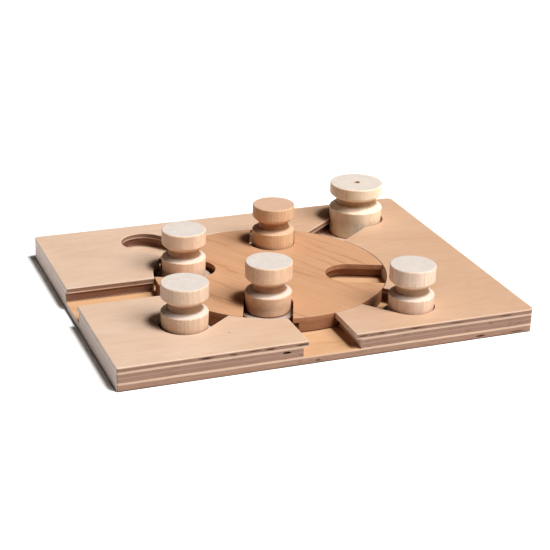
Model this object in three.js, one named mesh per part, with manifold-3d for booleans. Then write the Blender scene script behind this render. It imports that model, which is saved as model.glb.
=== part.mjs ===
// Sliding-peg puzzle board: a flat rectangular tray laminated from three sheets of
// birch plywood, with a round turning disc let into its middle. Keyhole-shaped
// compartments run out from the disc into the frame, two straight channels lead from
// the disc to the left and front edges, and turned beech pegs slide in the
// compartments on round feet that are held under the overhanging top sheet. A larger
// turned plug closes the loading hole in the back right corner.
//
// Millimetres, +Z up. The origin is the centre of the board's underside; +X runs along
// the long side to the right, +Y runs from the front edge to the back edge. Angles are
// in degrees about the disc's centre, counter-clockwise from +X.

import * as THREE from 'three';
import { mergeVertices } from 'three/addons/utils/BufferGeometryUtils.js';
import Module from 'manifold-3d';

const wasm = await Module();
wasm.setup();

// ---------------------------------------------------------------- shared dimensions

// Board outline and the three glued sheets
const BOARD_W = 300;
const BOARD_D = 239;
const BASE_T = 5.5;
const LOWER_T = 7.5;
const TOP_T = 4.0;
const Z_FLOOR = BASE_T;
const Z_LEDGE = Z_FLOOR + LOWER_T;
const Z_TOP = Z_LEDGE + TOP_T;

// Centre of the disc and of its opening, as [x, y]
const DISC_CENTRE = [-1.2, 1.3];

// How far cutters run past the faces they cut, and past the board's outline
const CUT_MARGIN = 1;
const FAR = 400;

// Facets
const SEG_TURNED = 36;
const SEG_RING = 108;
const SEG_LOADING_HOLE = 40;
const SEG_PIVOT_HOLE = 24;
const SEG_SLOT_END = 20;
const SEG_SCREW = 12;
const SEG_CORNER = 5;

const MATERIALS = {
  birch: { color: 0xdcbc95, roughness: 0.55, metalness: 0 },
  core: { color: 0xb89272, roughness: 0.65, metalness: 0 },
  alder: { color: 0xc8935f, roughness: 0.5, metalness: 0 },
  beech: { color: 0xdcc3a6, roughness: 0.5, metalness: 0 },
  toasted: { color: 0xc4905f, roughness: 0.5, metalness: 0 },
  steel: { color: 0xa9abad, roughness: 0.35, metalness: 1 },
};

// ------------------------------------------------------------------- shape helpers

const group = new THREE.Group();

function add(name, geometry, material) {
  geometry.computeVertexNormals();
  const mesh = new THREE.Mesh(geometry, new THREE.MeshStandardMaterial(material));
  mesh.name = name;
  group.add(mesh);
}

// Strips a geometry to merged positions and drops triangles that have no area.
function clean(geometry) {
  geometry.deleteAttribute('normal');
  geometry.deleteAttribute('uv');
  const merged = mergeVertices(geometry, 1e-4);
  const index = merged.index.array;
  const kept = [];
  for (let i = 0; i < index.length; i += 3) {
    const [a, b, c] = [index[i], index[i + 1], index[i + 2]];
    if (a !== b && b !== c && c !== a) kept.push(a, b, c);
  }
  merged.setIndex(kept);
  return merged;
}

function toSolid(geometry) {
  const cleaned = clean(geometry);
  return new wasm.Manifold(new wasm.Mesh({
    numProp: 3,
    vertProperties: new Float32Array(cleaned.attributes.position.array),
    triVerts: new Uint32Array(cleaned.index.array),
  }));
}

function toGeometry(solid) {
  const { vertProperties, triVerts } = solid.getMesh();
  const geometry = new THREE.BufferGeometry();
  const positions = new THREE.BufferAttribute(new Float32Array(vertProperties), 3);
  geometry.setAttribute('position', positions);
  geometry.setIndex(Array.from(triVerts));
  return geometry;
}

// Upright solid over a counter-clockwise outline, from z0 to z1.
function prism(points, z0, z1) {
  const shape = new THREE.Shape(points.map(([x, y]) => new THREE.Vector2(x, y)));
  const options = { depth: z1 - z0, bevelEnabled: false, steps: 1 };
  const geometry = new THREE.ExtrudeGeometry(shape, options);
  geometry.translate(0, 0, z0);
  return toSolid(geometry);
}

// Geometry of revolution about the upright axis through [x, y]. The profile is
// [radius, z] pairs that start and end on the axis, running outward and then up.
function turned(profile, [x, y], segments) {
  const points = profile.map(([radius, z]) => new THREE.Vector2(radius, z));
  const geometry = new THREE.LatheGeometry(points, segments);
  geometry.rotateX(Math.PI / 2);
  geometry.translate(x, y, 0);
  return clean(geometry);
}

// Round cylinder on the disc's axis.
function pivotCylinder(radius, z0, z1, segments) {
  const profile = [[0, z0], [radius, z0], [radius, z1], [0, z1]];
  return toSolid(turned(profile, DISC_CENTRE, segments));
}

const radians = (degrees) => (degrees * Math.PI) / 180;

function pointOn([x, y], radius, angle) {
  return [x + radius * Math.cos(angle), y + radius * Math.sin(angle)];
}

// Point at a distance and an angle from the disc's centre.
function polar(radius, degrees) {
  return pointOn(DISC_CENTRE, radius, radians(degrees));
}

function circle(centre, radius, count) {
  return Array.from({ length: count }, (_, i) => (
    pointOn(centre, radius, (2 * Math.PI * i) / count)
  ));
}

// Cutter for a straight-sided slot along a ray from the disc's centre, through a layer
// from z0 to z1. One end is a half circle about centreR; the other is square at squareR.
function slotCutter({ angle, centreR, half, squareR }, z0, z1) {
  const along = [Math.cos(radians(angle)), Math.sin(radians(angle))];
  const at = (radius, side) => [
    DISC_CENTRE[0] + along[0] * radius - along[1] * side,
    DISC_CENTRE[1] + along[1] * radius + along[0] * side,
  ];
  // The half circle bulges away from the square end
  const bulge = centreR > squareR ? half : -half;
  const points = [];
  for (let i = 0; i <= SEG_SLOT_END; i += 1) {
    const turn = -Math.PI / 2 + (Math.PI * i) / SEG_SLOT_END;
    points.push(at(centreR + bulge * Math.cos(turn), bulge * Math.sin(turn)));
  }
  points.push(at(squareR, bulge), at(squareR, -bulge));
  return prism(points, z0 - CUT_MARGIN, z1 + CUT_MARGIN);
}

// ---------------------------------------------------------------------- board sheets

// Corner radii, with the side of the centre each lies on and where its arc starts
const CORNERS = [
  { sideX: 1, sideY: -1, radius: 3.5, start: -90 },
  { sideX: 1, sideY: 1, radius: 4.5, start: 0 },
  { sideX: -1, sideY: 1, radius: 2.5, start: 90 },
  { sideX: -1, sideY: -1, radius: 1.2, start: 180 },
];

const OPENING_R = 85.3;

// Loading hole, at the end of the back right compartment
const LOADING_HOLE = { angle: 38.5, centreR: 134.0, radius: 21.5 };

// The frame's compartments, with half widths in the top and lower sheets. Their square
// ends lie inside the round opening.
const POCKET_SQUARE_R = 60;
const POCKETS = [
  { angle: 130.5, centreR: 110.8, halfTop: 16.9, halfLower: 21.0 },
  { angle: 218.6, centreR: 112.9, halfTop: 16.9, halfLower: 21.0 },
  { angle: 309.1, centreR: 113.4, halfTop: 16.9, halfLower: 21.0 },
  {
    angle: LOADING_HOLE.angle,
    centreR: LOADING_HOLE.centreR,
    halfTop: 16.2,
    halfLower: 20.7,
  },
];

// Edges of the two open channels in the top sheet, measured from the disc's centre,
// and how far the lower sheet is cut back from them
const LEFT_CHANNEL = { front: -18.9, back: 12.5 };
const FRONT_CHANNEL = { left: -18.0, right: 16.4 };
const UNDERCUT = 3.6;

function boardSheet(z0, z1) {
  const points = CORNERS.flatMap(({ sideX, sideY, radius, start }) => {
    const centre = [sideX * (BOARD_W / 2 - radius), sideY * (BOARD_D / 2 - radius)];
    return Array.from({ length: SEG_CORNER + 1 }, (_, i) => (
      pointOn(centre, radius, radians(start + (90 * i) / SEG_CORNER))
    ));
  });
  return prism(points, z0, z1);
}

// Everything left of x and in front of y, both measured from the disc's centre.
function frontLeftRegion(x, y, z0, z1) {
  const width = DISC_CENTRE[0] + x + FAR;
  const depth = DISC_CENTRE[1] + y + FAR;
  const height = z1 - z0 + 2 * CUT_MARGIN;
  const geometry = new THREE.BoxGeometry(width, depth, height);
  geometry.translate(width / 2 - FAR, depth / 2 - FAR, (z0 + z1) / 2);
  return toSolid(geometry);
}

// One of the two upper sheets. The round opening, the compartments and the channels are
// cut away, which leaves a C-shaped main piece and a separate front left corner piece.
// The lower sheet is cut back so that the top one overhangs and holds the pegs' feet.
function addFrameSheet(name, z0, z1, isLower, material) {
  const [cut0, cut1] = [z0 - CUT_MARGIN, z1 + CUT_MARGIN];
  let cutter = prism(circle(DISC_CENTRE, OPENING_R, SEG_RING), cut0, cut1);
  for (const { angle, centreR, halfTop, halfLower } of POCKETS) {
    const half = isLower ? halfLower : halfTop;
    cutter = cutter.add(slotCutter({ angle, centreR, half, squareR: POCKET_SQUARE_R }, z0, z1));
  }
  const holeCentre = polar(LOADING_HOLE.centreR, LOADING_HOLE.angle);
  const hole = circle(holeCentre, LOADING_HOLE.radius, SEG_LOADING_HOLE);
  cutter = cutter.add(prism(hole, cut0, cut1));
  const open = boardSheet(z0, z1).subtract(cutter);

  const back = isLower ? UNDERCUT : 0;
  const mainCut = frontLeftRegion(
    FRONT_CHANNEL.right + back, LEFT_CHANNEL.back + back, z0, z1,
  );
  const cornerKeep = frontLeftRegion(
    FRONT_CHANNEL.left - back, LEFT_CHANNEL.front - back, z0, z1,
  );
  add(`${name}_main`, toGeometry(open.subtract(mainCut)), material);
  add(`${name}_corner`, toGeometry(open.intersect(cornerKeep)), material);
}

// ---------------------------------------------------------------------------- pivot

const PIVOT = {
  shankR: 2.2,
  headR: 4.4,
  headZ: 0.4, // underside of the head
  rimZ: 0.8, // top of the head's straight rim
  coneZ: 3.0, // where the head's cone meets the shank
  tipR: 0.5,
  tipZ: Z_LEDGE - 1.0,
  tipLength: 1.2,
};
const PIVOT_HOLE_GAP = 0.5; // around the shank, in the base and the washer
const PIVOT_SINK_GAP = 1.9; // around the head, at the countersink cutter's lower end
const PIVOT_SINK_Z = 3.2;
const PILOT_GAP = 0.3;
const PILOT_TOP_Z = Z_LEDGE - 0.5;
const WASHER_R = 9.0;
const WASHER_T = 0.5;

// Base sheet, with a countersunk hole for the pivot screw
function addBase() {
  const holeR = PIVOT.shankR + PIVOT_HOLE_GAP;
  const sinkR = PIVOT.headR + PIVOT_SINK_GAP;
  const hole = toSolid(turned([
    [0, -CUT_MARGIN],
    [sinkR, -CUT_MARGIN],
    [holeR, PIVOT_SINK_Z],
    [holeR, BASE_T + CUT_MARGIN],
    [0, BASE_T + CUT_MARGIN],
  ], DISC_CENTRE, SEG_PIVOT_HOLE));
  add('base_plate', toGeometry(boardSheet(0, BASE_T).subtract(hole)), MATERIALS.birch);
}

// Screw driven into the disc from below
function addPivotScrew() {
  const { shankR, headR, headZ, rimZ, coneZ, tipR, tipZ, tipLength } = PIVOT;
  add('pivot_screw', turned([
    [0, headZ], [headR, headZ], [headR, rimZ], [shankR, coneZ],
    [shankR, tipZ - tipLength], [tipR, tipZ], [0, tipZ],
  ], DISC_CENTRE, SEG_SCREW), MATERIALS.steel);
}

// Thin washer that keeps the disc off the base
function addPivotWasher() {
  const top = Z_FLOOR + WASHER_T;
  const outer = pivotCylinder(WASHER_R, Z_FLOOR, top, SEG_PIVOT_HOLE);
  const holeR = PIVOT.shankR + PIVOT_HOLE_GAP;
  const hole = pivotCylinder(holeR, Z_FLOOR - CUT_MARGIN, top + CUT_MARGIN, SEG_PIVOT_HOLE);
  add('pivot_washer', toGeometry(outer.subtract(hole)), MATERIALS.steel);
}

// ----------------------------------------------------------------------------- disc

const DISC_R = 84.8;
const DISC_CLEAR = 0.8; // gap under the disc
const NOTCH_ANGLES = [-21.7, 68.3, 158.3, 248.3];
const NOTCH_CENTRE_R = 57.3;
const NOTCH_SQUARE_R = 120; // beyond the disc's rim
const NOTCH_HALF_TOP = 17.2;
const NOTCH_HALF_LOWER = 21.3;

// Disc layer with its four compartments cut out
function discLayer(z0, z1, half) {
  let layer = prism(circle(DISC_CENTRE, DISC_R, SEG_RING), z0, z1);
  for (const angle of NOTCH_ANGLES) {
    const slot = { angle, centreR: NOTCH_CENTRE_R, half, squareR: NOTCH_SQUARE_R };
    layer = layer.subtract(slotCutter(slot, z0, z1));
  }
  return layer;
}

// The disc's thicker lower layer is cut back like the frame
function addDisc() {
  const lower = discLayer(Z_FLOOR + DISC_CLEAR, Z_LEDGE, NOTCH_HALF_LOWER);
  const pilotR = PIVOT.shankR + PILOT_GAP;
  const pilot = pivotCylinder(pilotR, Z_FLOOR - CUT_MARGIN, PILOT_TOP_Z, SEG_SCREW);
  add('disc_lower', toGeometry(lower.subtract(pilot)), MATERIALS.alder);
  add('disc_top', toGeometry(discLayer(Z_LEDGE, Z_TOP, NOTCH_HALF_TOP)), MATERIALS.alder);
}

// ----------------------------------------------------------------------------- pegs

// Spool radii and heights; the small offsets that ease its edges are in the profile
const PEG = {
  radius: 15.9, neckR: 11.2,
  rimZ: 27.2, neckLowZ: 29.6, neckHighZ: 33.2, headZ: 37.9, topZ: 48.0,
};
const FOOT_R = 20.0;
const FOOT_BOTTOM = Z_FLOOR + 0.3;
const FOOT_TOP = FOOT_BOTTOM + 5.5;
const SCREW = { radius: 1.8, headR: 3.6, tipR: 0.4, tipZ: 24.0, tipLength: 1.5 };
const BORE_R = SCREW.radius + 0.3;
const BORE_TOP_Z = SCREW.tipZ + 0.8;
const SINK_GAP = 1.3; // around the screw head, at the countersink cutter's lower end
const SINK_DEPTH = 2.9;

// The spools are hand turned. Shift raises the waist and grow thickens the upper part.
// Three ride in the disc and two sit in the frame's front compartments.
const PEGS = [
  { name: 'peg_disc_back', at: [58.0, 67.4], shift: 0.9, grow: 0.1, wood: 'toasted' },
  { name: 'peg_disc_left', at: [63.3, 158.3], shift: -0.4, grow: 0.2, wood: 'beech' },
  { name: 'peg_disc_front', at: [56.8, 248.0], shift: -1.3, grow: 0.6, wood: 'beech' },
  { name: 'peg_front_left', at: [112.6, 218.7], shift: 0.2, grow: 0.4, wood: 'beech' },
  { name: 'peg_front_right', at: [113.6, 309.0], shift: -0.9, grow: 0.2, wood: 'beech' },
];

// Waisted spool with a blind screw bore in its underside
function pegBody(centre, shift, grow) {
  const upperR = PEG.radius + grow;
  const rimZ = PEG.rimZ + shift;
  const headZ = PEG.headZ + shift;
  return turned([
    [0, BORE_TOP_Z], [BORE_R, BORE_TOP_Z], [BORE_R, FOOT_TOP],
    [PEG.radius - 1.0, FOOT_TOP], [PEG.radius, FOOT_TOP + 1.4], [PEG.radius, Z_TOP],
    [upperR, rimZ - 0.7], [upperR - 0.8, rimZ + 0.2],
    [PEG.neckR, PEG.neckLowZ + shift], [PEG.neckR, PEG.neckHighZ + shift],
    [upperR - 0.5, headZ - 0.3], [upperR, headZ + 0.5],
    [upperR, PEG.topZ - 0.7], [upperR - 0.7, PEG.topZ], [0, PEG.topZ],
  ], centre, SEG_TURNED);
}

// Round foot with eased edges and a countersunk screw hole
function pegFoot(centre) {
  const foot = toSolid(turned([
    [0, FOOT_BOTTOM], [FOOT_R - 0.5, FOOT_BOTTOM], [FOOT_R, FOOT_BOTTOM + 0.5],
    [FOOT_R, FOOT_TOP - 0.6], [FOOT_R - 0.6, FOOT_TOP], [0, FOOT_TOP],
  ], centre, SEG_TURNED));
  const hole = toSolid(turned([
    [0, FOOT_BOTTOM - CUT_MARGIN],
    [SCREW.headR + SINK_GAP, FOOT_BOTTOM - CUT_MARGIN],
    [BORE_R, FOOT_BOTTOM + SINK_DEPTH],
    [BORE_R, FOOT_TOP + CUT_MARGIN],
    [0, FOOT_TOP + CUT_MARGIN],
  ], centre, SEG_SCREW));
  return toGeometry(foot.subtract(hole));
}

function pegScrew(centre) {
  const { radius, headR, tipR, tipZ, tipLength } = SCREW;
  return turned([
    [0, FOOT_BOTTOM + 0.2], [headR - 0.4, FOOT_BOTTOM + 0.2], [radius, FOOT_BOTTOM + 2.2],
    [radius, tipZ - tipLength], [tipR, tipZ], [0, tipZ],
  ], centre, SEG_SCREW);
}

function addPeg({ name, at, shift, grow, wood }) {
  const centre = polar(...at);
  add(`${name}_body`, pegBody(centre, shift, grow), MATERIALS[wood]);
  add(`${name}_foot`, pegFoot(centre), MATERIALS.beech);
  add(`${name}_screw`, pegScrew(centre), MATERIALS.steel);
}

// --------------------------------------------------------------------- loading plug

const PLUG = {
  angle: 38.8, centreR: 133.8,
  radius: 20.4, rimR: 21.0, headR: 20.9, neckR: 15.5, boreR: 2.6,
  bottomZ: Z_FLOOR + 0.2, rimZ: 27.0, neckLowZ: 31.6, neckHighZ: 34.2,
  headZ: 38.5, topZ: 47.0, boreDepth: 12,
};

// Larger waisted plug, with a shallow bore in the middle of its top
function addPlug() {
  const { radius, rimR, headR, neckR, boreR, bottomZ, rimZ, headZ, topZ } = PLUG;
  const boreZ = topZ - PLUG.boreDepth;
  add('loading_plug', turned([
    [0, bottomZ], [radius - 0.6, bottomZ], [radius, bottomZ + 0.6], [radius, Z_TOP],
    [rimR, rimZ - 0.8], [rimR - 0.9, rimZ + 0.3],
    [neckR, PLUG.neckLowZ], [neckR, PLUG.neckHighZ],
    [headR - 0.6, headZ - 0.3], [headR, headZ + 0.7],
    [headR, topZ - 0.8], [headR - 0.8, topZ],
    [boreR, topZ], [boreR, boreZ], [0, boreZ],
  ], polar(PLUG.centreR, PLUG.angle), SEG_TURNED), MATERIALS.beech);
}

// ------------------------------------------------------------------------- assembly

addBase();
addFrameSheet('frame_lower', Z_FLOOR, Z_LEDGE, true, MATERIALS.core);
addFrameSheet('frame_top', Z_LEDGE, Z_TOP, false, MATERIALS.birch);
addDisc();
addPivotScrew();
addPivotWasher();
PEGS.forEach(addPeg);
addPlug();

export default group;
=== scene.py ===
import math
import random

import bmesh
import bpy
import numpy as np
from mathutils import Matrix, Vector
from mathutils.geometry import tessellate_polygon


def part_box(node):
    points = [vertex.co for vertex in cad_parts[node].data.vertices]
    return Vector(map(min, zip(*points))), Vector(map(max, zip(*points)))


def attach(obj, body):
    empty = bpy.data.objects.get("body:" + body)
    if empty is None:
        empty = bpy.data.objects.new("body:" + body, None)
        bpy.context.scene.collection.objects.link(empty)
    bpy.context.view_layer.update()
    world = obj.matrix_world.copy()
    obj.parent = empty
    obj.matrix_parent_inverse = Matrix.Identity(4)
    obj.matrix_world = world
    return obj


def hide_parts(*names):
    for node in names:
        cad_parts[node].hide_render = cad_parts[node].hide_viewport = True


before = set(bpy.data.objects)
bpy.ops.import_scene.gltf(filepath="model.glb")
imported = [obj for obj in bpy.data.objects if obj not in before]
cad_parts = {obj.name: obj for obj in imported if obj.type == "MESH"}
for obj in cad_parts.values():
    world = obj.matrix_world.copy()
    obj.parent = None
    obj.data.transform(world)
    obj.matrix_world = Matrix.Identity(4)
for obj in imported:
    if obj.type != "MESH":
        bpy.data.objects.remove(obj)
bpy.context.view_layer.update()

MM = 0.001
SCENE = bpy.context.scene
COLLECTION = SCENE.collection


# ------------------------------------------------------------------ node shorthand

class Nodes:
    """A short way to write a node tree."""

    def __init__(self, name):
        self.mat = bpy.data.materials.new(name)
        self.mat.use_nodes = True
        self.tree = self.mat.node_tree
        self.tree.nodes.clear()
        self._xyz = None

    def add(self, kind, **props):
        node = self.tree.nodes.new(kind)
        for key, value in props.items():
            setattr(node, key, value)
        return node

    def put(self, socket, value):
        if isinstance(value, bpy.types.NodeSocket):
            self.tree.links.new(value, socket)
        elif value is not None:
            socket.default_value = value

    def math(self, op, a, b=None, c=None, clamp=False):
        n = self.add("ShaderNodeMath", operation=op, use_clamp=clamp)
        for i, v in enumerate((a, b, c)):
            self.put(n.inputs[i], v)
        return n.outputs[0]

    def xyz(self):
        """Object coordinates in millimetres, as three sockets."""
        if self._xyz is None:
            tc = self.add("ShaderNodeTexCoord")
            s = self.add("ShaderNodeSeparateXYZ")
            self.put(s.inputs[0], tc.outputs["Object"])
            self._xyz = [self.math("MULTIPLY", s.outputs[i], 1000.0) for i in range(3)]
        return self._xyz

    def vec(self, x, y, z):
        n = self.add("ShaderNodeCombineXYZ")
        for i, v in enumerate((x, y, z)):
            self.put(n.inputs[i], v)
        return n.outputs[0]

    def noise(self, vector, scale=1.0, detail=3.0, rough=0.5, distort=0.0):
        n = self.add("ShaderNodeTexNoise", noise_dimensions="3D")
        self.put(n.inputs["Vector"], vector)
        n.inputs["Scale"].default_value = scale
        n.inputs["Detail"].default_value = detail
        n.inputs["Roughness"].default_value = rough
        n.inputs["Distortion"].default_value = distort
        return n.outputs["Fac"]

    def remap(self, value, lo, hi, to_lo=0.0, to_hi=1.0, smooth=False):
        n = self.add("ShaderNodeMapRange", clamp=True,
                     interpolation_type="SMOOTHSTEP" if smooth else "LINEAR")
        for i, v in enumerate((value, lo, hi, to_lo, to_hi)):
            self.put(n.inputs[i], v)
        return n.outputs[0]

    def ramp(self, value, stops, kind="LINEAR"):
        n = self.add("ShaderNodeValToRGB")
        n.color_ramp.interpolation = kind
        ramp = n.color_ramp.elements
        while len(ramp) < len(stops):
            ramp.new(0.5)
        for element, (pos, colour) in zip(ramp, stops):
            element.position = pos
            element.color = (*colour, 1.0) if len(colour) == 3 else colour
        self.put(n.inputs[0], value)
        return n.outputs[0]

    def mix(self, fac, a, b, blend="MIX"):
        n = self.add("ShaderNodeMix", data_type="RGBA", blend_type=blend, clamp_factor=True)
        self.put(n.inputs[0], fac)
        self.put(n.inputs[6], (*a, 1.0) if isinstance(a, tuple) and len(a) == 3 else a)
        self.put(n.inputs[7], (*b, 1.0) if isinstance(b, tuple) and len(b) == 3 else b)
        return n.outputs[2]

    def scale_colour(self, colour, factor):
        """Colour times a number socket."""
        n = self.add("ShaderNodeVectorMath", operation="SCALE")
        self.put(n.inputs[0], colour)
        self.put(n.inputs[3], factor)
        return n.outputs[0]

    def attribute(self, name):
        return self.add("ShaderNodeAttribute", attribute_name=name).outputs["Fac"]

    def bump(self, height, strength, distance_mm, normal=None):
        n = self.add("ShaderNodeBump")
        n.inputs["Strength"].default_value = strength
        n.inputs["Distance"].default_value = distance_mm * MM
        self.put(n.inputs["Height"], height)
        if normal is not None:
            self.put(n.inputs["Normal"], normal)
        return n.outputs[0]

    def painted_crevice_shade(self, colour, reach_mm, depth, warm=(0.62, 0.42, 0.30)):
        """Colour darkened and warmed where ambient occlusion finds narrow gaps and inner corners: painted shade."""
        ao = self.add("ShaderNodeAmbientOcclusion", samples=6)
        ao.inputs["Distance"].default_value = reach_mm * MM
        open_to_air = ao.outputs["AO"]
        return self.mix(self.remap(open_to_air, 0.12, 0.62, depth, 0.0), colour, self.mix(1.0, colour, warm, "MULTIPLY"))

    def finish(self, colour, roughness, normal=None, specular=0.35, metallic=0.0, sheen=0.0):
        p = self.add("ShaderNodeBsdfPrincipled")
        out = self.add("ShaderNodeOutputMaterial")
        self.put(p.inputs["Base Color"], colour)
        self.put(p.inputs["Roughness"], roughness)
        p.inputs["Specular IOR Level"].default_value = specular
        p.inputs["Metallic"].default_value = metallic
        p.inputs["Sheen Weight"].default_value = sheen
        if normal is not None:
            self.put(p.inputs["Normal"], normal)
        self.tree.links.new(p.outputs[0], out.inputs[0])
        return self.mat


# ------------------------------------------------------------------------- materials

def rotated(n, x, y, angle_deg):
    """Coordinates along and across a grain direction in the XY plane."""
    c, s = math.cos(math.radians(angle_deg)), math.sin(math.radians(angle_deg))
    along = n.math("ADD", n.math("MULTIPLY", x, c), n.math("MULTIPLY", y, s))
    across = n.math("SUBTRACT", n.math("MULTIPLY", y, c), n.math("MULTIPLY", x, s))
    return along, across


def birch_face(name, light, dark, grain_deg=0.0, seed=0.0, knots=(), figure=1.0, far=None):
    """Rotary-cut birch veneer: cloudy figure, cathedral lines, fine fibre, tiny pores, pin knots. far is
    (colour, x0, x1): the tone that the sheet drifts to between x0 and x1 (towards the back right with a fourth item)."""
    n = Nodes(name)
    x, y, z = n.xyz()
    u, v = rotated(n, x, y, grain_deg)
    off = n.math("ADD", n.math("MULTIPLY", z, 0.0), seed)
    warp = n.noise(n.vec(n.math("DIVIDE", u, 80.0), n.math("DIVIDE", v, 26.0), n.math("ADD", off, 7.3)), 1.0, 2.0, 0.5)
    cloud = n.noise(n.vec(n.math("DIVIDE", u, 58.0), n.math("DIVIDE", v, 21.0), off), 1.0, 4.0, 0.55, 0.7)
    satin = n.noise(n.vec(n.math("DIVIDE", u, 16.0), n.math("DIVIDE", v, 9.0), n.math("ADD", off, 5.1)), 1.0, 2.0, 0.5, 1.2)
    band = n.math("ADD", n.math("DIVIDE", v, 17.0), n.math("MULTIPLY", warp, 5.2))
    saw = n.math("FRACT", band)
    line = n.math("MULTIPLY", n.remap(saw, 0.55, 0.93, smooth=True), n.remap(saw, 0.93, 1.0, 1.0, 0.0))
    gate = n.remap(n.noise(n.vec(n.math("DIVIDE", u, 70.0), n.math("DIVIDE", v, 45.0), n.math("ADD", off, 3.1)), 1.0, 1.0), 0.38, 0.60)
    cathedral = n.math("MULTIPLY", line, gate)
    streak = n.noise(n.vec(n.math("DIVIDE", u, 45.0), n.math("DIVIDE", v, 1.7), n.math("ADD", off, 2.2)), 1.0, 3.0, 0.55)
    fibre = n.noise(n.vec(n.math("DIVIDE", u, 14.0), n.math("DIVIDE", v, 0.55), off), 1.0, 4.0, 0.6)
    pores = n.noise(n.vec(n.math("DIVIDE", u, 2.6), n.math("DIVIDE", v, 0.22), off), 1.0, 1.0, 0.4)
    pore = n.remap(pores, 0.64, 0.76)
    t = n.math("ADD", n.math("MULTIPLY", n.remap(cloud, 0.33, 0.67), 0.7), n.math("MULTIPLY", n.remap(satin, 0.3, 0.7), 0.3))
    colour = n.mix(t, dark, light)
    if far is not None:
        tone, x0, x1 = far[:3]
        drift = n.math("ADD", n.math("ADD", y, n.math("MULTIPLY", x, 0.5)) if far[3:] else x, n.math("MULTIPLY", n.math("SUBTRACT", warp, 0.5), 10.0 if far[3:] else 60.0))
        there = n.mix(t, tuple(c * d / l for c, d, l in zip(tone, dark, light)), tone)
        colour = n.mix(n.remap(drift, x0, x1, smooth=True), colour, there)
    deep = n.mix(1.0, colour, (0.92, 0.82, 0.74), "MULTIPLY")
    colour = n.mix(n.math("MULTIPLY", cathedral, min(1.0, 0.62 * figure)), colour, deep)
    colour = n.scale_colour(colour, n.remap(streak, 0.3, 0.7, 0.965, 1.03))
    colour = n.scale_colour(colour, n.remap(fibre, 0.25, 0.75, 0.96, 1.035))
    colour = n.mix(n.math("MULTIPLY", pore, 0.12), colour, (0.30, 0.17, 0.10))
    for (kx, ky, r) in knots:
        d = n.math("SQRT", n.math("ADD", n.math("POWER", n.math("SUBTRACT", x, kx), 2.0), n.math("POWER", n.math("MULTIPLY", n.math("SUBTRACT", y, ky), 1.3), 2.0)))
        colour = n.mix(n.remap(d, r * 0.45, r * 1.2, 0.95, 0.0), colour, (0.16, 0.07, 0.04))
        halo = n.remap(d, r, r * 4.0, 0.22, 0.0)
        colour = n.mix(halo, colour, tuple(c * 0.7 for c in dark))
    rim = n.attribute("rim")
    wear = n.math("MULTIPLY", rim, n.remap(n.noise(n.vec(n.math("DIVIDE", x, 9.0), n.math("DIVIDE", y, 9.0), z), 1.0, 3.0), 0.3, 0.6, 0.35, 0.9))
    colour = n.mix(n.math("MULTIPLY", wear, 0.45), colour, tuple(min(1.0, c * 1.16 + 0.03) for c in light))
    rough = n.remap(n.math("ADD", fibre, n.math("MULTIPLY", wear, -0.12)), 0.25, 0.8, 0.44, 0.60)
    height = n.math("ADD", n.math("MULTIPLY", fibre, 0.6), n.math("ADD", n.math("MULTIPLY", pore, -0.5), n.math("MULTIPLY", cathedral, 0.10)))
    return n.finish(colour, rough, n.bump(height, 0.35, 0.05), specular=0.35)


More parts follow.
